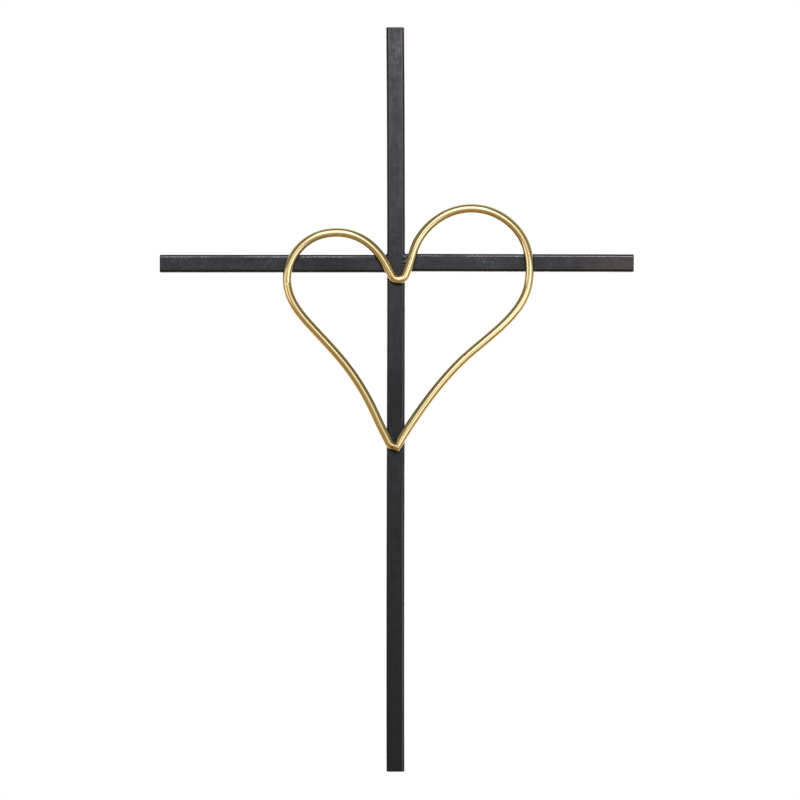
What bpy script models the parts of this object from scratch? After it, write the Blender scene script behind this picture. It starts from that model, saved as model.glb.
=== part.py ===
"""A wall cross: three square steel bars welded together, with a heart of brass rod across the front.

Metres, +Z up. The origin is on the back of the upright, level with the middle of the left arm, so
the wall is the plane y = 0, the front of the cross faces -Y and +X is to the right.
"""

import math

import bmesh
import bpy
from mathutils import Vector

# Driving dimensions, in metres
BAR = 0.006                      # side of the square bar
BAR_EDGE_RADIUS = 0.0006         # rounding of its four long edges
BAR_END_EASE = 0.0002            # the sawn ends are eased this little
UPRIGHT_ABOVE = 0.081            # top end of the upright, above the origin
UPRIGHT_BELOW = 0.174            # bottom end, below the origin
LEFT_ARM_REACH = 0.0778          # free end of each arm, from the side of the upright
RIGHT_ARM_REACH = 0.0786
RIGHT_ARM_LIFT = 0.0003          # the right arm was set this much higher than the left one
RIGHT_ARM_DROOP = 0.14           # and falls away this many degrees towards its free end

ROD = 0.003                      # diameter of the brass rod
HEART_WIDTH = 0.083              # widths and heights of the heart are along the rod's centre line
HEART_HEIGHT = 0.0815
HEART_SHIFT = 0.00435            # middle of the heart, to the right of the upright's middle
HEART_TOP = 0.01885              # top of its higher lobe, above the origin
DIP_BEND_RADIUS = 0.0026         # at the rod's centre line
TIP_BEND_RADIUS = 0.0016

CLEARANCE = 0.0003               # left between pieces that are welded or brazed together

# Smoothness of the round shapes
EDGE_SEGMENTS = 4
ROD_STEPS_BETWEEN_KNOTS = 6
ROD_SIDES_RESOLUTION = 4

# The heart's outline, bent by hand and so not the same on its two sides. Each knot is a share of
# the width from the left, a share of the height from the tip, and the rod's heading in degrees
# there, going clockwise round the heart: 0 is to the right and 90 is up.
LEFT_SIDE = (
    (0.400, 0.059, 118),         # above the tip
    (0.357, 0.151, 115),
    (0.257, 0.323, 126.5),
    (0.128, 0.475, 133),         # end of the straight flank
    (0.042, 0.577, 124.5),
    (0.000, 0.702, 90),          # widest point of the left lobe
    (0.068, 0.850, 41),
    (0.205, 0.899, 0),           # top of the left lobe
    (0.315, 0.868, -31),
    (0.405, 0.771, -59.5),
)
DIP_CORNERS = ((0.442, 0.7035), (0.481, 0.7035))
RIGHT_SIDE = (
    (0.513, 0.792, 73),
    (0.535, 0.855, 63.5),
    (0.621, 0.955, 34.5),
    (0.760, 1.000, 0),           # top of the right lobe
    (0.872, 0.972, -28),
    (0.967, 0.881, -59),
    (1.000, 0.747, -90),         # widest point of the right lobe
    (0.987, 0.653, -108),
    (0.939, 0.566, -128.5),
    (0.820, 0.449, -139.5),      # start of the straight flank
    (0.720, 0.361, -136),
    (0.590, 0.210, -127),
    (0.496, 0.073, -123),        # above the tip
)
TIP_CORNERS = ((0.456, 0.000), (0.424, 0.010))


def clear_scene():
    for thing in list(bpy.data.objects):
        bpy.data.objects.remove(thing, do_unlink=True)


def make_collection(name):
    group = bpy.data.collections.new(name)
    bpy.context.scene.collection.children.link(group)
    return group


def make_material(name, colour, roughness, metallic):
    material = bpy.data.materials.new(name)
    material.use_nodes = True
    shader = material.node_tree.nodes["Principled BSDF"]
    shader.inputs["Base Color"].default_value = (*colour, 1.0)
    shader.inputs["Roughness"].default_value = roughness
    shader.inputs["Metallic"].default_value = metallic
    return material


def make_origin(group):
    origin = bpy.data.objects.new("cross_origin", None)
    group.objects.link(origin)
    return origin


def square_bar(name, length, group, material, parent):
    """A bar of the square stock along its own Z, centred on its origin."""
    shape = bmesh.new()
    bmesh.ops.create_cube(shape, size=1.0)
    bmesh.ops.scale(shape, vec=Vector((BAR, BAR, length)), verts=shape.verts)
    long_edges = [edge for edge in shape.edges if edge.calc_length() > 0.99 * length
                  and edge.verts[0].co.x == edge.verts[1].co.x
                  and edge.verts[0].co.y == edge.verts[1].co.y]
    bmesh.ops.bevel(shape, geom=long_edges, offset=BAR_EDGE_RADIUS, segments=EDGE_SEGMENTS,
                    profile=0.5, affect="EDGES")
    mesh = bpy.data.meshes.new(name)
    shape.to_mesh(mesh)
    shape.free()
    mesh.shade_smooth()
    mesh.set_sharp_from_angle(angle=math.radians(35))
    mesh.materials.append(material)

    bar = bpy.data.objects.new(name, mesh)
    group.objects.link(bar)
    bar.parent = parent
    ease = bar.modifiers.new("sawn ends", "BEVEL")
    ease.width = BAR_END_EASE
    ease.segments = 2
    ease.limit_method = "ANGLE"
    ease.angle_limit = math.radians(60)
    return bar


def add_upright(group, steel, parent):
    bar = square_bar("upright", UPRIGHT_ABOVE + UPRIGHT_BELOW, group, steel, parent)
    bar.location = (0.0, -BAR / 2, (UPRIGHT_ABOVE - UPRIGHT_BELOW) / 2)
    return bar


def add_arm(name, side, reach, lift, droop, group, steel, parent):
    """An arm of the cross, on the right with side 1 or on the left with side -1.

    It turns down about the middle of its welded end, and stands off the upright there by the
    clearance at its nearest corner.
    """
    tilt = math.radians(droop)
    welded_end = BAR / 2 + CLEARANCE + BAR / 2 * math.sin(tilt)
    length = BAR / 2 + reach - welded_end
    bar = square_bar(name, length, group, steel, parent)
    bar.rotation_euler = (0.0, side * (math.pi / 2 + tilt), 0.0)
    bar.location = (side * (welded_end + length / 2 * math.cos(tilt)), -BAR / 2,
                    lift - length / 2 * math.sin(tilt))
    return bar


def place(share_across, share_up):
    """A point of the heart's plane, in metres, from shares of its width and height."""
    return Vector((
        HEART_SHIFT + HEART_WIDTH * (share_across - 0.5),
        HEART_TOP - HEART_HEIGHT * (1.0 - share_up),
    ))


def direction(heading):
    return Vector((math.cos(heading), math.sin(heading)))


def heading_of(step):
    return math.atan2(step.y, step.x)


def turn_between(before, after):
    return (after - before + math.pi) % (2 * math.pi) - math.pi


def bend(corner, before, after, radius):
    """The knots where the rod leaves one straight and joins the next, round a corner."""
    setback = radius * math.tan(abs(turn_between(before, after)) / 2)
    return [(corner - setback * direction(before), before),
            (corner + setback * direction(after), after)]


def double_bend(corners, last_point, next_point, radius):
    """Two bends with a short run between them, from one side of the heart to the other."""
    first, second = place(*corners[0]), place(*corners[1])
    coming = heading_of(first - last_point)
    between = heading_of(second - first)
    leaving = heading_of(next_point - second)
    return bend(first, coming, between, radius) + bend(second, between, leaving, radius)


def heart_knots():
    """The whole outline as points with headings, clockwise from above the tip on the left."""
    left = [(place(across, up), math.radians(heading)) for across, up, heading in LEFT_SIDE]
    right = [(place(across, up), math.radians(heading)) for across, up, heading in RIGHT_SIDE]
    dip = double_bend(DIP_CORNERS, left[-1][0], right[0][0], DIP_BEND_RADIUS)
    tip = double_bend(TIP_CORNERS, right[-1][0], left[0][0], TIP_BEND_RADIUS)
    return left + dip + right + tip


def handle_length(start, end):
    """How far a handle reaches so that the stretch between two knots is nearly an arc."""
    chord = (end[0] - start[0]).length
    half_turn = abs(turn_between(start[1], end[1])) / 2
    if half_turn < 1e-4:
        return chord / 3
    radius = chord / (2 * math.sin(half_turn))
    return radius * math.tan(half_turn / 2) * 4 / 3


def add_heart(group, brass, parent):
    """The closed ring of rod, drawn flat and stood up against the front of the bars."""
    knots = heart_knots()
    count = len(knots)
    curve = bpy.data.curves.new("heart", "CURVE")
    curve.dimensions = "3D"
    curve.twist_mode = "Z_UP"
    curve.bevel_depth = ROD / 2
    curve.bevel_resolution = ROD_SIDES_RESOLUTION
    curve.resolution_u = ROD_STEPS_BETWEEN_KNOTS
    spline = curve.splines.new("BEZIER")
    spline.bezier_points.add(count - 1)
    spline.use_cyclic_u = True
    for index, knot in enumerate(knots):
        point, heading = knot
        along = direction(heading)
        before = handle_length(knots[index - 1], knot)
        after = handle_length(knot, knots[(index + 1) % count])
        bezier = spline.bezier_points[index]
        bezier.handle_left_type = "FREE"
        bezier.handle_right_type = "FREE"
        bezier.co = (*point, 0.0)
        bezier.handle_left = (*(point - before * along), 0.0)
        bezier.handle_right = (*(point + after * along), 0.0)
    curve.materials.append(brass)

    heart = bpy.data.objects.new("heart", curve)
    group.objects.link(heart)
    heart.parent = parent
    heart.rotation_euler = (math.pi / 2, 0.0, 0.0)
    heart.location = (0.0, -(BAR + CLEARANCE + ROD / 2), 0.0)
    return heart


def main():
    clear_scene()
    group = make_collection("wall_cross")
    steel = make_material("blackened_steel", (0.035, 0.036, 0.039), 0.42, 0.7)
    brass = make_material("brass_rod", (0.80, 0.58, 0.27), 0.2, 1.0)
    origin = make_origin(group)
    add_upright(group, steel, origin)
    add_arm("arm_left", -1, LEFT_ARM_REACH, 0.0, 0.0, group, steel, origin)
    add_arm("arm_right", 1, RIGHT_ARM_REACH, RIGHT_ARM_LIFT, RIGHT_ARM_DROOP, group, steel, origin)
    add_heart(group, brass, origin)


main()
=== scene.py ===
"""The looks of the wall cross: satin black square bars, and a heart of bright brass rod across them.

Metres, +Z up. The wall is the plane y = 0 and the front of the cross faces -Y.
"""

import math

import bpy
import numpy as np
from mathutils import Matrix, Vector, noise


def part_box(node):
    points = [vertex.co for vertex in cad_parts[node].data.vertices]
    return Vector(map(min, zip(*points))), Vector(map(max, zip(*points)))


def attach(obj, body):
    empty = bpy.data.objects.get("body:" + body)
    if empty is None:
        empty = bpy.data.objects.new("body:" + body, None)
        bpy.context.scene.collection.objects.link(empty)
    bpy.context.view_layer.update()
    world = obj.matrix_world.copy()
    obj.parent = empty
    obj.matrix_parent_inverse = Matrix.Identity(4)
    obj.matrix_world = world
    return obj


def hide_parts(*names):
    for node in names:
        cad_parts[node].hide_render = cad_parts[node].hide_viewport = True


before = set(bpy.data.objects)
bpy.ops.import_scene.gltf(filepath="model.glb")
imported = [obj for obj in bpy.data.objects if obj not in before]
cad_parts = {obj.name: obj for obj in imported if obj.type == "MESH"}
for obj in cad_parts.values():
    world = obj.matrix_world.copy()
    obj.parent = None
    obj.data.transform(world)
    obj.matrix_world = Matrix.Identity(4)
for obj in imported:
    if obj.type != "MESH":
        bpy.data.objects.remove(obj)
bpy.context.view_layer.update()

# The stock, as the solids have it
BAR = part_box("upright")[1].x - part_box("upright")[0].x
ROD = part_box("heart")[1].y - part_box("heart")[0].y
BAR_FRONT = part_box("upright")[0].y
ROD_MIDDLE = (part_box("heart")[0].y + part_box("heart")[1].y) / 2

# Bars
EDGE_RADIUS = 0.00085             # rounding of the long edges
END_EASE = 0.00030                # rounding of the sawn ends
EASE_STEPS = 5
RING_SPACING = 0.0008             # along a bar
FIRST_RING = 1.4 * END_EASE       # the evenly spaced rings start this far from each end
CORNER_STEPS = 8
SHARP_ANGLE = math.radians(50)    # edges over this are shaded as sharp, on every piece
EDGE_SUPPORT = 0.00008            # a line of points this far from each rounded edge keeps the flats flat
FLAT_SHARES = (0.2, 0.4, 0.6, 0.8)
WAVE_DEPTH = 0.000016             # faint unevenness of the rolled flats
WAVE_LENGTH = 0.007

# Welds between the arms and the upright
WELD_BITE = 0.0008                # from the side of the upright inwards, over its rounded edge
WELD_REACH = 0.0009               # out along the arm
WELD_LEG = 0.0006                 # up and down the side of the upright
WELD_FLUSH = 0.00002              # below the face of the bars
WELD_SUNK = 0.00012               # its rims end this far under the skin of the bars
WELD_ROUGHNESS = 0.00006
WELD_GRAIN = 0.0007
WELD_RINGS = 18
WELD_FLAT_SHARES = tuple(step / 24 for step in range(1, 24))
# Lumps of it in front, as x, z, radius and height
LEFT_LUMPS = ((-0.0026, 0.0023, 0.00035, 0.00016),)
RIGHT_LUMPS = (
    (0.0025, 0.0023, 0.00040, 0.00022),
    (0.0029, 0.0016, 0.00030, 0.00014),
    (0.0028, 0.0004, 0.00035, 0.00018),
)

ARM_LIFTS = {"arm_left": 0.00009, "arm_right": 0.00015}   # each arm is this much higher than its solid
UPRIGHT_SPREAD = 0.00018          # the upright is this much wider than its solid
# How far the middle of the upright stands off a straight line, by height, because the bar bows a little
UPRIGHT_BOW = ((-0.174, -0.00004), (-0.115, -0.00009), (-0.009, 0.00013), (0.081, -0.00015))
BOW_STEPS = 60

# Where the black is rubbed and speckled: a place on the front and how far it reaches
RUBBED_SPOTS = (
    ((0.0, -0.006, 0.074), 0.014),
    ((-0.072, -0.006, 0.0), 0.016),
    ((-0.0435, -0.006, 0.0), 0.007),
    ((0.0306, -0.006, 0.001), 0.008),
    ((0.0005, -0.006, 0.0105), 0.0025),
    ((-0.0010, -0.006, -0.0650), 0.0020),
)
# Where it is brownish, and where shade from the rod's strands is painted on as a darker black, in the same way
BROWN_SPOTS = (
    ((0.0860, -0.006, 0.0), 0.034),
)
PAINTED_SHADE_SPOTS = (
    ((-0.0225, -0.006, 0.0), 0.015),
    ((0.0, -0.006, -0.047), 0.020),
)
BROWN_TOP = (0.056, 0.078)        # the upright's long edges turn brown over this stretch of its height
BROWN_RIMS = (0.0017, 0.0024)     # and over this distance from its middle, on both sides
RED_SIDE = (0.0023, 0.0027)       # its right side is a redder brown, from this distance
PAINTED_LIGHT_FROM = (0.006, 0.018)        # painted light: above this height the black is painted a little lighter, standing in for the brighter light the upright's top reflects
# The pale line of wear starts and ends at these distances from where a bar's flat turns into its edge
WEAR_START = (-0.0001, 0.00012)
WEAR_END = (0.0003, 0.0005)
# Patterns along a bar or along the rod: how fine they are across, deep and along
WEAR_FINENESS = (120.0, 120.0, 70.0)
STEEL_STREAKS = (1500.0, 1500.0, 90.0)
BRASS_STREAKS = (1300.0, 1300.0, 22.0)
GRAIN_DEPTH = 0.000008
WELD_BUMP_DEPTH = 0.00004
BRAZE_BUMP_DEPTH = 0.00002

# Colours of the metals and of the floor. In a pair, the pattern goes from the first to the second
SATIN_BLACKS = (0.0178, 0.0178, 0.0175), (0.0240, 0.0240, 0.0236)
PAINTED_LIGHT_LIFT = (1.13, 1.13, 1.13)   # painted light: times the black that is there, where it is painted lighter high up
# painted shade: the darker black painted where the rod's strands shade the bars
PAINTED_SHADE_BLACK = (0.012, 0.012, 0.012)
RUBBED_GREY = (0.048, 0.048, 0.048)
WORN_GREY = (0.050, 0.050, 0.051)
SPECK_GREY = (0.10, 0.10, 0.097)
BROWN = (0.038, 0.029, 0.027)
RED_BROWN = (0.085, 0.045, 0.038)
WELD_BLACKS = (0.012, 0.012, 0.0125), (0.052, 0.052, 0.055)
BRIGHT_BRASSES = (0.89, 0.72, 0.37), (0.76, 0.57, 0.25)
# heat tint and painted shade on the lower side of the run at the tip
HEAT_TINT_AND_SHADE_BROWN = (0.34, 0.17, 0.07)
DULL_BRASSES = (0.36, 0.21, 0.08), (0.66, 0.46, 0.19)
FLOOR_GREYS = (0.70, 0.70, 0.69), (0.74, 0.74, 0.73)

# Heart, with its outline as shares of its width and height, and headings going clockwise
HEART_HEIGHT_TO_WIDTH = 0.0815 / 0.083
LEFT_SIDE = (
    (0.400, 0.059, 118),
    (0.357, 0.151, 115),
    (0.257, 0.323, 126.5),
    (0.128, 0.475, 133),
    (0.042, 0.577, 124.5),
    (0.000, 0.702, 90),
    (0.068, 0.850, 41),
    (0.205, 0.899, 0),
    (0.315, 0.868, -31),
    (0.405, 0.771, -59.5),
)
DIP_CORNERS = ((0.442, 0.7015), (0.481, 0.7015))
RIGHT_SIDE = (
    (0.513, 0.792, 73),
    (0.535, 0.855, 63.5),
    (0.621, 0.955, 34.5),
    (0.760, 1.000, 0),
    (0.872, 0.972, -28),
    (0.967, 0.881, -59),
    (1.000, 0.747, -90),
    (0.987, 0.653, -108),
    (0.939, 0.566, -128.5),
    (0.820, 0.449, -139.5),
    (0.720, 0.361, -136),
    (0.590, 0.210, -127),
    (0.496, 0.073, -123),
)
TIP_JOINT = (0.4525, 0.000)       # where the two ends of the rod meet in a mitre
TIP_BEND = (0.424, 0.010)         # where the left end is bent across to it
DIP_BEND_RADIUS = 0.0026
TIP_BEND_RADIUS = 0.0016
PATH_STEPS = 60                   # between two knots of the outline
ROD_SIDES = 72
ROD_RING_SPACING = 0.0004
DIE_LINE_DEPTH = 0.000014         # shallow lines that the drawing die left along the rod
DIE_LINE_WIDTH = 0.00036
DIE_LINE_LENGTH = 0.045           # they wander and fade over this length
TIP_PINCH = 0.27                  # the inner side of the bent end is hammered in by this share at the joint
TIP_PINCH_REACH = 0.0032
MITRE_RUN_REACH = 0.00175         # the rings lean towards the mitre within this far of it, on the short run
MITRE_STRAND_REACH = 0.003        # and on the long strand
ROD_WAVE_DEPTH = 0.000012         # the rod isn't quite round after bending
ROD_WAVE_LENGTH = 0.005
NOISE_STEPS = 6                   # samples of a smooth pattern in its own length along the rod

# Marks of the tools on the rod: where they are (x, z), the angle round the rod in degrees with -90 in
# front and 0 on the outside of the heart, then depth, length and width
TOOL_MARKS = (
    ((-0.0370, -0.0064), -100, 0.00005, 0.0012, 0.0020),
    ((0.0405, -0.0179), -48, 0.00010, 0.0004, 0.0005),
    ((0.0237, -0.0318), -112, 0.00004, 0.0012, 0.0010),
    ((-0.0236, -0.0390), -70, 0.00003, 0.0008, 0.0012),
)

# Brazing behind the rod, where it lies across the bars
BRAZE_HALF_WIDTH = 0.00125        # at its foot, on the bar
BRAZE_END_SHARE = 0.3             # its width at its two ends, as a share of the middle's
BRAZE_LONGEST = 0.006
BRAZE_CLIMB = 0.75                # where it meets the rod, across, as a share of its foot
BRAZE_STEPS = 6
BRAZE_SUNK = 0.00003              # its foot ends this far under the skin of the bar

# The brown at the tip, partly heat tint and partly painted shade on the run's lower side: its middle, as shares
# like those of the heart's outline, and how far it reaches
HEAT_TINT_AND_SHADE_SPOT = (0.438, -0.001)
HEAT_TINT_AND_SHADE_REACH = 0.0026

# Camera, in the middle of the photograph's frame
FRAME_WIDTH = 0.27394             # what the frame spans at the front of the bars
FRAME_MIDDLE = (0.001507, -0.04667)
LENS = 180.0
SENSOR = 36.0

# Lamps, by where they stand as seen from the middle of the heart: degrees to the right and up, and metres
# away. Then their width and height in degrees, how bright they are and their colour.
# These are small and bright and light the bars alone, because the brass would only be dazzled by them. The
# first two are in front, and the others keep the sides and backs from going black
BAR_LAMPS = (
    ("key", 3.5, 19.5, 1.1, 32.0, 4.5, 39.0, (1.0, 1.0, 1.0)),
    ("edge_light", 38.0, -18.0, 0.6, 8.0, 30.0, 6.0, (1.0, 1.0, 1.0)),
    ("back_key", 180.0, 1.5, 1.1, 14.0, 3.0, 20.0, (1.0, 1.0, 1.0)),
    ("beside_right", 98.0, 0.0, 1.0, 8.0, 16.0, 7.0, (1.0, 1.0, 1.0)),
    ("beside_left", -98.0, 0.0, 1.0, 8.0, 16.0, 7.0, (1.0, 1.0, 1.0)),
    ("behind_right", 140.0, 1.5, 1.0, 18.0, 4.0, 5.0, (1.0, 1.0, 1.0)),
    ("behind_left", -140.0, 1.5, 1.0, 18.0, 4.0, 5.0, (1.0, 1.0, 1.0)),
)
# These are larger and softer and light everything
LAMPS = (
    ("window", -4.5, 29.0, 1.5, 33.0, 48.0, 1.4, (0.94, 1.05, 1.60)),
    ("front_soft", 16.0, 6.0, 0.8, 40.0, 40.0, 0.46, (1.0, 1.03, 1.06)),
    ("side_right", 31.0, -12.0, 0.6, 17.0, 38.0, 1.5, (0.88, 1.08, 1.5)),
    ("side_far_right", 52.0, -12.0, 0.6, 36.0, 36.0, 0.55, (0.8, 1.1, 1.6)),
    ("fill_left", -53.5, -2.0, 0.6, 43.0, 30.0, 0.86, (0.97, 1.05, 1.1)),
)
# The room as the metal sees it, from straight in front of the cross (0) past its sides (0.5) to behind it (1)
ROOM_COLOURS = (
    (0.0, (0.30, 0.31, 0.32)),
    (0.07, (0.27, 0.23, 0.17)),
    (0.25, (0.25, 0.21, 0.14)),
    (0.5, (0.23, 0.20, 0.14)),
    (0.67, (0.42, 0.38, 0.30)),
    (1.0, (0.85, 0.85, 0.85)),
)
TINT_BELOW = (1.50, 1.34, 1.15)   # times the room's colour, low down
TINT_ABOVE = (0.95, 1.0, 1.0)     # and high up
WHITE = (1.0, 1.0, 1.0, 1.0)

FLOOR_HEIGHT = -0.35
FLOOR_RADIUS = 0.9
FLOOR_SIDES = 96


# Shapes

def turn_between(before, after):
    return (after - before + math.pi) % (2 * math.pi) - math.pi


def direction(heading):
    return Vector((math.cos(heading), math.sin(heading)))


def heading_of(step):
    return math.atan2(step.y, step.x)


def heart_point(share_across, share_up):
    """A point on the rod's centre line, in the plane of the heart, from shares of the heart's width and height."""
    low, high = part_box("heart")
    width = high.x - low.x - ROD
    top = high.z - ROD / 2
    height = width * HEART_HEIGHT_TO_WIDTH
    return Vector((low.x + ROD / 2 + width * share_across, top - height * (1.0 - share_up)))


def heat_tint_and_shade_spot():
    """The middle of the brown, heat tint and painted shade, inside the front half of the rod."""
    spot = heart_point(*HEAT_TINT_AND_SHADE_SPOT)
    return spot.x, ROD_MIDDLE - ROD / 3, spot.y


def bend(corner, before, after, radius):
    """The knots where the rod leaves one straight and joins the next, round a corner."""
    setback = radius * math.tan(abs(turn_between(before, after)) / 2)
    return [(corner - setback * direction(before), before),
            (corner + setback * direction(after), after)]


def heart_knots():
    """The outline as points with headings, clockwise from the joint at the tip and back to it."""
    left = [(heart_point(across, up), math.radians(heading)) for across, up, heading in LEFT_SIDE]
    right = [(heart_point(across, up), math.radians(heading)) for across, up, heading in RIGHT_SIDE]
    first, second = (heart_point(*corner) for corner in DIP_CORNERS)
    down = heading_of(first - left[-1][0])
    across = heading_of(second - first)
    rise = heading_of(right[0][0] - second)
    dip = bend(first, down, across, DIP_BEND_RADIUS) + bend(second, across, rise, DIP_BEND_RADIUS)

    joint, corner = heart_point(*TIP_JOINT), heart_point(*TIP_BEND)
    run = heading_of(corner - joint)
    climb = heading_of(left[0][0] - corner)
    arrival = heading_of(joint - right[-1][0])
    tip = [(joint, run)] + bend(corner, run, climb, TIP_BEND_RADIUS)
    return tip + left + dip + right + [(joint, arrival)]


def handle_length(start, end):
    """How far a handle reaches so that the stretch between two knots is nearly an arc."""
    chord = (end[0] - start[0]).length
    half_turn = abs(turn_between(start[1], end[1])) / 2
    if half_turn < 1e-4:
        return chord / 3
    return chord / (2 * math.sin(half_turn)) * math.tan(half_turn / 2) * 4 / 3


def heart_path(spacing):
    """Points along the rod's centre line, in the plane of the heart, nearly evenly spaced."""
    dense = []
    knots = heart_knots()
    for start, end in zip(knots[:-1], knots[1:]):
        reach = handle_length(start, end)
        handles = (start[0], start[0] + reach * direction(start[1]), end[0] - reach * direction(end[1]), end[0])
        share = np.linspace(0.0, 1.0, PATH_STEPS, endpoint=False)[:, None]
        weights = ((1 - share) ** 3, 3 * share * (1 - share) ** 2, 3 * share ** 2 * (1 - share), share ** 3)
        dense.append(sum(weight * np.array(handle) for weight, handle in zip(weights, handles)))
    dense.append(np.array([knots[-1][0]]))
    dense = np.concatenate(dense)
    travelled = np.concatenate([[0.0], np.cumsum(np.linalg.norm(np.diff(dense, axis=0), axis=1))])
    stations = np.linspace(0.0, travelled[-1], round(travelled[-1] / spacing) + 1)
    points = np.stack([np.interp(stations, travelled, dense[:, axis]) for axis in (0, 1)], axis=1)
    return points, stations


def mesh_object(name, points, faces, material):
    mesh = bpy.data.meshes.new(name)
    mesh.from_pydata([tuple(point) for point in points], [], faces)
    mesh.materials.append(material)
    mesh.shade_smooth()
    mesh.set_sharp_from_angle(angle=SHARP_ANGLE)
    mesh.validate()
    made = bpy.data.objects.new(name, mesh)
    bpy.context.scene.collection.objects.link(made)
    return made


def loft(name, rings, material, closed=False):
    """A skin over rings of points, closed on itself or capped at both ends. Its faces point out."""
    count, around = rings.shape[:2]
    faces = []
    for ring in range(count if closed else count - 1):
        here, there = ring * around, (ring + 1) % count * around
        for side in range(around):
            beside = (side + 1) % around
            faces.append((here + side, here + beside, there + beside, there + side))
    points = rings.reshape(-1, 3)
    inside_out = signed_volume(points - points.mean(axis=0), faces) < 0
    if not closed:
        faces.append(tuple(range(around))[::-1])
        faces.append(tuple(range((count - 1) * around, count * around)))
    if inside_out:
        faces = [face[::-1] for face in faces]
    return mesh_object(name, points, faces, material)


def signed_volume(points, quads):
    """Six times the volume inside the quads' skin, positive where they face out."""
    corners = points[np.array(quads)]
    halves = ((corners[:, 0], corners[:, 1], corners[:, 2]), (corners[:, 0], corners[:, 2], corners[:, 3]))
    return sum(np.einsum("ij,ij->i", first, np.cross(second, third)).sum() for first, second, third in halves)


def rounded_section(half_across, half_deep, radius, flat_shares=FLAT_SHARES):
    """Points round a rectangle with rounded corners, and the outward direction at each."""
    points, outward = [], []
    for corner in range(4):
        quarter = corner * math.pi / 2
        turn = np.array(((math.cos(quarter), -math.sin(quarter)), (math.sin(quarter), math.cos(quarter))))
        half, beside = (half_across, half_deep) if corner % 2 == 0 else (half_deep, half_across)
        flat = np.array((half - radius, beside - radius))
        for step in range(CORNER_STEPS + 1):
            angle = step / CORNER_STEPS * math.pi / 2
            normal = np.array((math.cos(angle), math.sin(angle)))
            points.append(turn @ (flat + radius * normal))
            outward.append(turn @ normal)
        support = EDGE_SUPPORT / (2 * flat[0])
        for share in (support, *flat_shares, 1 - support):
            points.append(turn @ np.array((flat[0] * (1 - 2 * share), beside)))
            outward.append(turn @ np.array((0.0, 1.0)))
    return np.array(points), np.array(outward)


def ring_stations(length):
    """Places along a bar, close together at its eased ends, and how far the section is drawn in at each."""
    turns = [step / EASE_STEPS * math.pi / 2 for step in range(EASE_STEPS + 1)]
    ease = [END_EASE * (1 - math.cos(turn)) for turn in turns]
    drawn_in = [END_EASE * (1 - math.sin(turn)) for turn in turns]
    middle = np.linspace(FIRST_RING, length - FIRST_RING, round(length / RING_SPACING))
    stations = ease + list(middle) + [length - place for place in reversed(ease)]
    insets = drawn_in + [0.0] * len(middle) + list(reversed(drawn_in))
    return stations, insets


def unevenness(place, seed):
    """Depth to push a point of a bar inwards: faint waves left by rolling."""
    wave = noise.noise(Vector(place) / WAVE_LENGTH + Vector((seed, 0.0, 0.0)))
    return WAVE_DEPTH * (1 + wave)


def bar(name, start, end, seed, material, bow=(), spread=0.0):
    """A bar of square stock from start to end, bowed sideways by the amounts in bow and wider by the spread."""
    along = (end - start).normalized()
    out = Vector((0.0, 1.0, 0.0))
    side = out.cross(along)
    stations, insets = ring_stations((end - start).length)
    rings, places = [], []
    for station, inset in zip(stations, insets):
        section, outward = rounded_section(BAR / 2 + spread / 2 - inset, BAR / 2 - inset, EDGE_RADIUS - inset)
        places.append(np.column_stack([section, np.full(len(section), station)]))
        centre = np.array(start + along * station)
        if bow:
            centre[0] += np.interp(centre[2], *zip(*bow))
        ring = []
        for (across, depth), (push_across, push_depth) in zip(section, outward):
            place = centre + across * np.array(side) + depth * np.array(out)
            sink = unevenness(place, seed)
            ring.append(place - sink * (push_across * np.array(side) + push_depth * np.array(out)))
        rings.append(ring)
    piece = loft(name, np.array(rings), material)
    store_places(piece, "bar_place", np.concatenate(places) + np.array((0.0, 0.0, seed)))
    return piece


def store_places(piece, name, places):
    """Keep each point's place across and along its stock, for the material's streaks."""
    kept = piece.data.attributes.new(name, "FLOAT_VECTOR", "POINT")
    kept.data.foreach_set("vector", places.astype(np.float32).ravel())


def smooth_bow():
    """The upright's bow as a smooth curve through its few known places."""
    heights, offsets = (np.array(column) for column in zip(*UPRIGHT_BOW))
    curve = np.polynomial.Polynomial.fit(heights, offsets, 3)
    fine = np.linspace(heights[0], heights[-1], BOW_STEPS)
    return list(zip(fine, curve(fine)))


def add_upright(material):
    low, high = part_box("upright")
    start = Vector((0.0, -BAR / 2, low.z))
    end = Vector((0.0, -BAR / 2, high.z))
    piece = bar("upright_bar", start, end, 0.0, material, bow=smooth_bow(), spread=UPRIGHT_SPREAD)
    return place_piece(piece, "blackened_steel", "upright")


def arm_line(node, side, lift=0.0):
    """Middle of an arm's welded end and of its free end, which may be lower. The lift raises both.

    The side is -1 for the left arm and 1 for the right one.
    """
    low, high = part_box(node)
    lean = math.asin(max(0.0, high.z - low.z - BAR) / (high.x - low.x))
    tuck = BAR / 2 * math.sin(lean)
    welded, free = (high.x, low.x) if side < 0 else (low.x, high.x)
    start = Vector((welded + side * tuck, -BAR / 2, high.z - BAR / 2 + lift))
    end = Vector((free - side * tuck, -BAR / 2, low.z + BAR / 2 + lift))
    return start, end


def add_arm(node, name, side, seed, material):
    start, end = arm_line(node, side, ARM_LIFTS[node])
    piece = bar(name, start, end, seed, material)
    return place_piece(piece, "blackened_steel", node)


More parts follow.
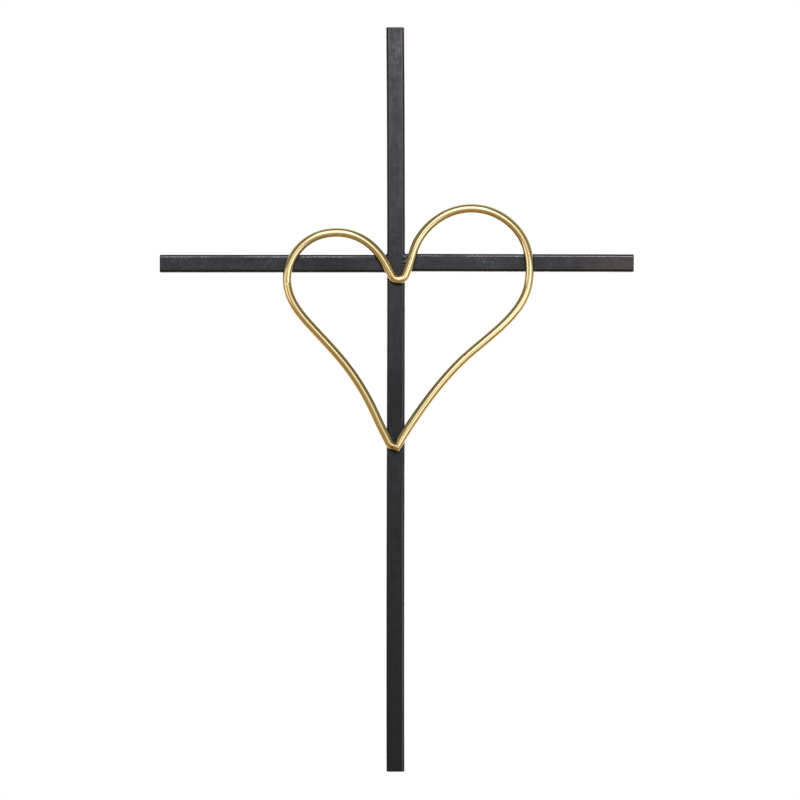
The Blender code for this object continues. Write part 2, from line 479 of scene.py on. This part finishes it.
def add_weld(node, name, side, lumps, seed, material):
    """Welding metal round an arm's joint: ground nearly flush in front and behind, a fillet above and below."""
    middle = arm_line(node, side)[0].z
    rings = []
    for reach in np.linspace(-WELD_BITE, WELD_REACH, WELD_RINGS):
        share = min(1.0, max(0.0, reach / WELD_REACH))
        leg = WELD_LEG * (1 - math.sqrt(1 - (1 - share) ** 2))
        sunk = WELD_SUNK if share == 1.0 or reach == -WELD_BITE else 0.0
        section, outward = rounded_section(BAR / 2 + leg - sunk, BAR / 2 - WELD_FLUSH - sunk,
                                           EDGE_RADIUS + leg / 2, WELD_FLAT_SHARES)
        ring = []
        for (up, depth), (push_up, push_depth) in zip(section, outward):
            place = np.array((side * (BAR / 2 + reach), depth - BAR / 2, middle + up))
            swell = WELD_ROUGHNESS * noise.noise(Vector(place) / WELD_GRAIN + Vector((seed, 0.0, 0.0)))
            if push_depth < -0.5:
                swell += sum(lump_height(place, lump) for lump in lumps)
            swell = min(swell, -place[1]) if push_depth > 0 else swell
            ring.append(place + swell * np.array((0.0, push_depth, push_up)))
        rings.append(ring)
    piece = loft(name, np.array(rings), material)
    return place_piece(piece, "blackened_steel")


def lump_height(place, lump):
    """How far a lump of welding metal stands up at a place on the front. A lump is x, z, radius and height."""
    away = math.hypot(place[0] - lump[0], place[2] - lump[1]) / lump[2]
    return lump[3] * math.exp(-away ** 2)


def place_piece(piece, slot, *nodes):
    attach(piece, "root")
    if nodes:
        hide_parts(*nodes)
    return piece


def ring_tilts(stations, turn):
    """How far each ring leans from square to the rod, so that the two ends meet in the plane of the mitre."""
    start = np.clip(1 - stations / MITRE_RUN_REACH, 0.0, 1.0)
    end = np.clip(1 - (stations[-1] - stations) / MITRE_STRAND_REACH, 0.0, 1.0)
    return turn / 2 * start - turn / 2 * end


def tip_pinch(angles, station, total):
    """How far the section reaches sideways at each angle, as a share: less on the inner side near the joint."""
    near = max(0.0, 1 - min(station, total - station) / TIP_PINCH_REACH)
    eased = near * near * (3 - 2 * near)
    return np.where(np.cos(angles) < 0, 1 - TIP_PINCH * eased, 1.0)


def skin_noise(stations, angles, width, length):
    """Smooth noise over the rod's skin, of this width round it and this length along it."""
    rough_stations = np.linspace(0.0, stations[-1], round(stations[-1] / length * NOISE_STEPS) + 2)
    around = np.stack([np.cos(angles), np.sin(angles)], axis=1) * ROD / 2 / width
    table = [[noise.noise(Vector((beside, deep, station / length))) for beside, deep in around]
             for station in rough_stations]
    return np.stack([np.interp(stations, rough_stations, column) for column in zip(*table)], axis=1)


def rod_unevenness(points, stations, angles):
    """Depth to push each point of the rod inwards: faint waves, die lines and the marks of the tools."""
    depths = ROD_WAVE_DEPTH * (1 + skin_noise(stations, angles, ROD_WAVE_LENGTH, ROD_WAVE_LENGTH))
    depths += DIE_LINE_DEPTH * (1 + skin_noise(stations, angles, DIE_LINE_WIDTH, DIE_LINE_LENGTH))
    for (x, z), angle, depth, length, width in TOOL_MARKS:
        middle = stations[np.argmin(np.hypot(points[:, 0] - x, points[:, 1] - z))]
        along = np.clip(1 - (np.abs(stations - middle) / (length / 2)) ** 2, 0.0, 1.0)
        turn = (angles - math.radians(angle) + math.pi) % (2 * math.pi) - math.pi
        across = np.clip(1 - (np.abs(turn) * ROD / 2 / (width / 2)) ** 2, 0.0, 1.0)
        depths += depth * np.outer(along, across)
    return depths


def stretches_over_bars(points):
    """The runs of the rod's centre line that lie over a bar, as first and last index."""
    over = (np.abs(points[:, 0]) < BAR / 2) | (np.abs(points[:, 1]) < BAR / 2)
    edges = np.flatnonzero(np.diff(np.concatenate([[0], over.astype(int), [0]])))
    return list(zip(edges[0::2], edges[1::2] - 1))


def braze_section(fullness):
    """Half of a fillet between the face of a bar and the back of the rod: distances across, and heights."""
    foot = BRAZE_HALF_WIDTH * fullness
    gap = BAR_FRONT - (ROD_MIDDLE + ROD / 2)
    meets = math.asin(BRAZE_CLIMB * foot / (ROD / 2))
    top = (math.sin(meets) * ROD / 2, gap + (1 - math.cos(meets)) * ROD / 2)
    curve = []
    for step in range(BRAZE_STEPS + 1):
        angle = step / BRAZE_STEPS * math.pi / 2
        curve.append((foot - (foot - top[0]) * math.sin(angle), top[1] * (1 - math.cos(angle))))
    inside_the_rod = (top[0] * 0.6, top[1] + ROD / 8)
    return [(foot, -BRAZE_SUNK)] + curve + [inside_the_rod]


def add_brazes(material):
    """A small fillet of brazing under the rod wherever it lies across a bar."""
    points, stations = heart_path(ROD_RING_SPACING / 2)
    steps = np.gradient(points, axis=0)
    for number, (first, last) in enumerate(stretches_over_bars(points), start=1):
        middle = (stations[first] + stations[last]) / 2
        half = min(BRAZE_LONGEST, stations[last] - stations[first]) / 2
        within = np.flatnonzero(np.abs(stations - middle) <= half)
        rings = []
        for index in within:
            share = abs(stations[index] - middle) / half
            fullness = BRAZE_END_SHARE + (1 - BRAZE_END_SHARE) * math.sqrt(max(0.0, 1 - share ** 2))
            across = np.array((-steps[index][1], steps[index][0])) / np.linalg.norm(steps[index])
            outline = braze_section(fullness)
            outline = outline + [(-aside, height) for aside, height in reversed(outline)]
            rings.append([(points[index][0] + aside * across[0], BAR_FRONT - height,
                           points[index][1] + aside * across[1]) for aside, height in outline])
        piece = loft(f"heart_braze_{number}", np.array(rings), material)
        place_piece(piece, "brass_rod")


def add_heart(material):
    points, stations = heart_path(ROD_RING_SPACING)
    steps = np.gradient(points, axis=0)
    knots = heart_knots()
    headings = np.arctan2(steps[:, 1], steps[:, 0])
    headings[0], headings[-1] = knots[0][1], knots[-1][1]
    tilts = ring_tilts(stations, turn_between(knots[-1][1], knots[0][1]))
    angles = np.linspace(0.0, 2 * math.pi, ROD_SIDES, endpoint=False)
    sunk = rod_unevenness(points, stations, angles)
    rings = []
    for point, heading, tilt, station, dents in zip(points, headings, tilts, stations, sunk):
        forward = np.array((math.cos(heading), math.sin(heading)))
        across = np.array((-forward[1], forward[0])) + forward * math.tan(tilt)
        radius = ROD / 2 - dents
        beside = radius * np.cos(angles) * tip_pinch(angles, station, stations[-1])
        flat = point + beside[:, None] * across
        depth = ROD_MIDDLE + radius * np.sin(angles)
        rings.append(np.stack([flat[:, 0], depth, flat[:, 1]], axis=1))
    piece = loft("heart_rod", np.array(rings[:-1]), material, closed=True)
    around = np.tile(np.stack([np.cos(angles), np.sin(angles)], axis=1), (len(rings) - 1, 1))
    lengthwise = np.repeat(stations[:-1], ROD_SIDES)
    store_places(piece, "rod_place", np.column_stack([around * ROD / 2, lengthwise]))
    return place_piece(piece, "brass_rod", "heart")


# Materials

class Graph:
    """Adds nodes to a material or a world and links them."""

    def __init__(self, owner):
        self.owner = owner
        owner.use_nodes = True
        self.tree = owner.node_tree

    def put(self, value, socket):
        if isinstance(value, bpy.types.NodeSocket):
            self.tree.links.new(value, socket)
        elif value is not None:
            socket.default_value = value

    def node(self, kind, inputs=(), **settings):
        made = self.tree.nodes.new(kind)
        for key, value in settings.items():
            setattr(made, key, value)
        for key, value in dict(inputs).items():
            self.put(value, made.inputs[key])
        return made

    def place(self):
        return self.node("ShaderNodeTexCoord").outputs["Object"]

    def attribute(self, name):
        return self.node("ShaderNodeAttribute", attribute_name=name).outputs["Vector"]

    def maths(self, operation, first, second=None, third=None):
        return self.node("ShaderNodeMath", {0: first, 1: second, 2: third}, operation=operation).outputs[0]

    def noise(self, vector, scale, detail=4.0, roughness=0.5):
        made = self.node("ShaderNodeTexNoise", {"Vector": vector, "Scale": scale, "Detail": detail,
                                                "Roughness": roughness})
        return made.outputs["Fac"]

    def range(self, value, low, high, to_low=0.0, to_high=1.0):
        made = self.node("ShaderNodeMapRange", {"Value": value, "From Min": low, "From Max": high,
                                                "To Min": to_low, "To Max": to_high},
                         interpolation_type="SMOOTHSTEP")
        return made.outputs["Result"]

    def stretch(self, vector, scale):
        return self.node("ShaderNodeMapping", {"Vector": vector, "Scale": scale}).outputs["Vector"]

    def parts(self, vector):
        made = self.node("ShaderNodeSeparateXYZ", {"Vector": vector})
        return [made.outputs[axis] for axis in "XYZ"]

    def edges(self, name, flat):
        """1 in a line where a bar's flats, which reach this far from its middle, turn into its rounded edges."""
        across, deep, _ = self.parts(self.attribute(name))
        out = self.maths("MINIMUM", self.maths("ABSOLUTE", across), self.maths("ABSOLUTE", deep))
        start = self.range(out, *(flat + place for place in WEAR_START))
        end = self.range(out, *(flat + place for place in WEAR_END), 1.0, 0.0)
        return self.maths("MULTIPLY", start, end)

    def near(self, place, spots):
        """1 at each of the spots, falling to 0 at its reach. A spot is a place and a reach."""
        total = 0.0
        for spot, reach in spots:
            away = self.node("ShaderNodeVectorMath", {0: place, 1: spot}, operation="DISTANCE").outputs["Value"]
            total = self.maths("MAXIMUM", total, self.range(away, 0.0, reach, 1.0, 0.0))
        return total

    def mix(self, share, first, second, blend="MIX"):
        made = self.node("ShaderNodeMix", data_type="RGBA", blend_type=blend)
        for value, socket in ((share, "Factor"), (first, "A"), (second, "B")):
            value = (*value, 1.0) if isinstance(value, tuple) else value
            self.put(value, next(one for one in made.inputs if one.name == socket and one.enabled))
        return next(one for one in made.outputs if one.enabled)

    def bump(self, height, depth):
        return self.node("ShaderNodeBump", {"Height": height, "Distance": depth}).outputs["Normal"]

    def finish(self, **sockets):
        for key, value in sockets.items():
            value = (*value, 1.0) if isinstance(value, tuple) else value
            self.put(value, self.tree.nodes["Principled BSDF"].inputs[key.replace("_", " ")])
        return self.owner


def new_material(name):
    return Graph(bpy.data.materials.new(name))


def patchy_black(graph, place, blotches, colour):
    """The black with the places where it is rubbed, brown or speckled, painted a little lighter high up, and with
    painted shade near the rod's strands.
    """
    across, _, up = graph.parts(place)
    top = graph.range(up, *BROWN_TOP)
    scuffs = graph.range(graph.noise(place, scale=1100.0, detail=5.0, roughness=0.65), 0.50, 0.66)
    rubbed = graph.maths("MULTIPLY", graph.near(place, RUBBED_SPOTS), scuffs)
    colour = graph.mix(graph.maths("MULTIPLY", rubbed, 0.6), colour, RUBBED_GREY)
    # painted light: the black is a little lighter above a height
    colour = graph.mix(graph.range(up, *PAINTED_LIGHT_FROM), colour, PAINTED_LIGHT_LIFT, "MULTIPLY")

    rims = graph.range(graph.maths("ABSOLUTE", across), *BROWN_RIMS, 0.0, 0.8)
    brown = graph.maths("MAXIMUM", graph.near(place, BROWN_SPOTS), graph.maths("MULTIPLY", top, rims))
    brown = graph.maths("MULTIPLY", brown, graph.range(blotches, 0.25, 0.6, 0.5, 1.0))
    colour = graph.mix(brown, colour, BROWN)

    specks = graph.range(graph.noise(place, scale=1900.0, detail=2.0, roughness=0.4), 0.70, 0.76)
    specks = graph.maths("MULTIPLY", specks, graph.range(rubbed, 0.0, 0.5, 0.15, 1.0))
    colour = graph.mix(specks, colour, SPECK_GREY)
    # painted shade: darker black where the rod's strands shade the left arm and the upright
    colour = graph.mix(graph.maths("MULTIPLY", graph.near(place, PAINTED_SHADE_SPOTS), 0.6), colour, PAINTED_SHADE_BLACK)
    return graph.mix(graph.maths("MULTIPLY", top, graph.range(across, *RED_SIDE)), colour, RED_BROWN)


def black_steel():
    """Satin black over mill scale: mottled, streaked along the bar, and worn in a pale line on its long edges."""
    graph = new_material("satin_black_steel")
    place, along = graph.place(), graph.attribute("bar_place")
    blotches = graph.noise(place, scale=330.0, detail=6.0, roughness=0.6)
    streaks = graph.noise(graph.stretch(along, STEEL_STREAKS), scale=1.0, roughness=0.6)
    uneven = graph.maths("MULTIPLY_ADD", blotches, 0.6, graph.maths("MULTIPLY", streaks, 0.4))
    colour = graph.mix(graph.range(uneven, 0.38, 0.62), *SATIN_BLACKS)
    colour = patchy_black(graph, place, blotches, colour)

    edges = graph.edges("bar_place", BAR / 2 - EDGE_RADIUS)
    broken = graph.noise(graph.stretch(along, WEAR_FINENESS), scale=1.0, detail=1.0)
    worn = graph.maths("MULTIPLY", edges, graph.range(broken, 0.28, 0.52, 0.3))
    colour = graph.mix(graph.maths("MULTIPLY", worn, 0.8), colour, WORN_GREY)
    rough = graph.maths("MULTIPLY_ADD", worn, -0.15, graph.range(uneven, 0.35, 0.65, 0.42, 0.37))
    grain = graph.noise(place, scale=2600.0, detail=3.0, roughness=0.6)
    grain = graph.maths("MULTIPLY", grain, graph.range(edges, 0.0, 1.0, 1.0, 0.1))
    normal = graph.bump(grain, GRAIN_DEPTH)
    return graph.finish(Base_Color=colour, Roughness=rough, Normal=normal, Metallic=1.0)


def weld_steel():
    """Welding metal under the same black: rougher, lumpier and blotched."""
    graph = new_material("blackened_weld")
    blotches = graph.noise(graph.place(), scale=1500.0, detail=5.0, roughness=0.6)
    colour = graph.mix(graph.range(blotches, 0.35, 0.65), *WELD_BLACKS)
    rough = graph.range(blotches, 0.35, 0.65, 0.45, 0.28)
    normal = graph.bump(blotches, WELD_BUMP_DEPTH)
    return graph.finish(Base_Color=colour, Roughness=rough, Normal=normal, Metallic=1.0)


def brass():
    """Bright drawn rod, slightly tarnished in streaks along it, with brown at its joint that is partly heat tint
    and partly painted shade on the run's lower side.
    """
    graph = new_material("bright_brass")
    place, along = graph.place(), graph.attribute("rod_place")
    streaks = graph.noise(graph.stretch(along, BRASS_STREAKS), scale=1.0, detail=3.0)
    colour = graph.mix(graph.range(streaks, 0.35, 0.68), *BRIGHT_BRASSES)
    # heat tint and painted shade: brown on the front and lower side of the run at the tip
    burnt_and_shaded = graph.range(graph.noise(place, scale=1800.0, roughness=0.6), 0.35, 0.6, 0.25, 1.0)
    burnt_and_shaded = graph.maths("MULTIPLY", burnt_and_shaded, graph.near(place, [(heat_tint_and_shade_spot(), HEAT_TINT_AND_SHADE_REACH)]))
    colour = graph.mix(burnt_and_shaded, colour, HEAT_TINT_AND_SHADE_BROWN)
    rough = graph.range(streaks, 0.3, 0.7, 0.13, 0.18)
    return graph.finish(Base_Color=colour, Roughness=rough, Metallic=1.0)


def dull_brass():
    """Brazing metal: brownish and rougher than the rod."""
    graph = new_material("dull_brass")
    patches = graph.noise(graph.place(), scale=1500.0)
    colour = graph.mix(graph.range(patches, 0.3, 0.7), *DULL_BRASSES)
    rough = graph.range(patches, 0.3, 0.7, 0.5, 0.35)
    normal = graph.bump(patches, BRAZE_BUMP_DEPTH)
    return graph.finish(Base_Color=colour, Roughness=rough, Normal=normal, Metallic=1.0)


def pale_floor():
    graph = new_material("pale_floor")
    colour = graph.mix(graph.noise(graph.place(), scale=6.0, detail=3.0), *FLOOR_GREYS)
    return graph.finish(Base_Color=colour, Roughness=0.8)


# Studio

def add_camera():
    camera = bpy.data.cameras.new("camera")
    camera.lens = LENS
    camera.sensor_width = SENSOR
    distance = LENS / SENSOR * FRAME_WIDTH
    holder = bpy.data.objects.new("camera", camera)
    holder.location = (FRAME_MIDDLE[0], BAR_FRONT - distance, FRAME_MIDDLE[1])
    holder.rotation_euler = (math.pi / 2, 0.0, 0.0)
    bpy.context.scene.collection.objects.link(holder)
    bpy.context.scene.camera = holder


def add_lamp(name, right, up, away, width, height, radiance, colour):
    """A soft lamp that looks at the middle of the heart and that the camera doesn't see."""
    low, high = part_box("heart")
    right, up = math.radians(right), math.radians(up)
    toward = Vector((math.sin(right) * math.cos(up), -math.cos(right) * math.cos(up), math.sin(up)))
    lamp = bpy.data.lights.new(name, "AREA")
    lamp.shape = "RECTANGLE"
    lamp.size = 2 * away * math.tan(math.radians(width) / 2)
    lamp.size_y = 2 * away * math.tan(math.radians(height) / 2)
    lamp.energy = radiance * math.pi * lamp.size * lamp.size_y
    lamp.color = colour
    holder = bpy.data.objects.new(name, lamp)
    holder.location = (low + high) / 2 + away * toward
    holder.rotation_euler = (-toward).to_track_quat("-Z", "Y").to_euler()
    holder.visible_camera = False
    bpy.context.scene.collection.objects.link(holder)
    return holder


def light_only(lamp, pieces):
    """Make the lamp shine on these pieces and on nothing else."""
    lit = bpy.data.collections.new(lamp.name + "_lights")
    for piece in pieces:
        lit.objects.link(piece)
    lamp.light_linking.receiver_collection = lit


def add_world():
    """White for the camera and for the floor; for the metal dim and warm in front and beside, lighter behind."""
    world = bpy.data.worlds.new("studio")
    bpy.context.scene.world = world
    graph = Graph(world)
    graph.tree.nodes.clear()
    heading = graph.node("ShaderNodeSeparateXYZ", {0: graph.node("ShaderNodeTexCoord").outputs["Generated"]})
    back = graph.node("ShaderNodeMapRange", {"Value": heading.outputs["Y"], "From Min": -1.0}).outputs["Result"]
    ramp = graph.node("ShaderNodeValToRGB", {0: back})
    stops = ramp.color_ramp.elements
    stops[0].color = (*ROOM_COLOURS[0][1], 1.0)
    stops[1].color = (*ROOM_COLOURS[-1][1], 1.0)
    for share, colour in ROOM_COLOURS[1:-1]:
        stops.new(share).color = (*colour, 1.0)
    tint = graph.mix(graph.range(heading.outputs["Z"], -0.5, 0.5), TINT_BELOW, TINT_ABOVE)
    room = graph.mix(1.0, ramp.outputs["Color"], tint, "MULTIPLY")
    unseen = graph.node("ShaderNodeBackground", {"Color": room}).outputs[0]
    seen = graph.node("ShaderNodeBackground", {"Color": WHITE}).outputs[0]
    ray = graph.node("ShaderNodeLightPath").outputs
    plain = graph.maths("MAXIMUM", ray["Is Camera Ray"], ray["Is Diffuse Ray"])
    either = graph.node("ShaderNodeMixShader", {0: plain, 1: unseen, 2: seen}).outputs[0]
    graph.node("ShaderNodeOutputWorld", {"Surface": either})


def add_floor(material):
    """A round pale floor, low enough to stay under the photograph's frame."""
    angles = np.linspace(0.0, 2 * math.pi, FLOOR_SIDES, endpoint=False)
    points = [(FLOOR_RADIUS * math.cos(angle), FLOOR_RADIUS * math.sin(angle), FLOOR_HEIGHT) for angle in angles]
    floor = mesh_object("floor", points, [tuple(range(len(points)))], material)
    floor.visible_glossy = False


def main():
    bpy.context.scene.view_settings.view_transform = "Standard"
    add_camera()
    for lamp in LAMPS:
        add_lamp(*lamp)
    add_world()
    add_floor(pale_floor())
    steel, weld = black_steel(), weld_steel()
    bars = [
        add_upright(steel),
        add_arm("arm_left", "left_arm_bar", side=-1, seed=11.0, material=steel),
        add_arm("arm_right", "right_arm_bar", side=1, seed=23.0, material=steel),
        add_weld("arm_left", "left_weld", side=-1, lumps=LEFT_LUMPS, seed=5.0, material=weld),
        add_weld("arm_right", "right_weld", side=1, lumps=RIGHT_LUMPS, seed=9.0, material=weld),
    ]
    for lamp in BAR_LAMPS:
        light_only(add_lamp(*lamp), bars)
    add_heart(brass())
    add_brazes(dull_brass())


main()
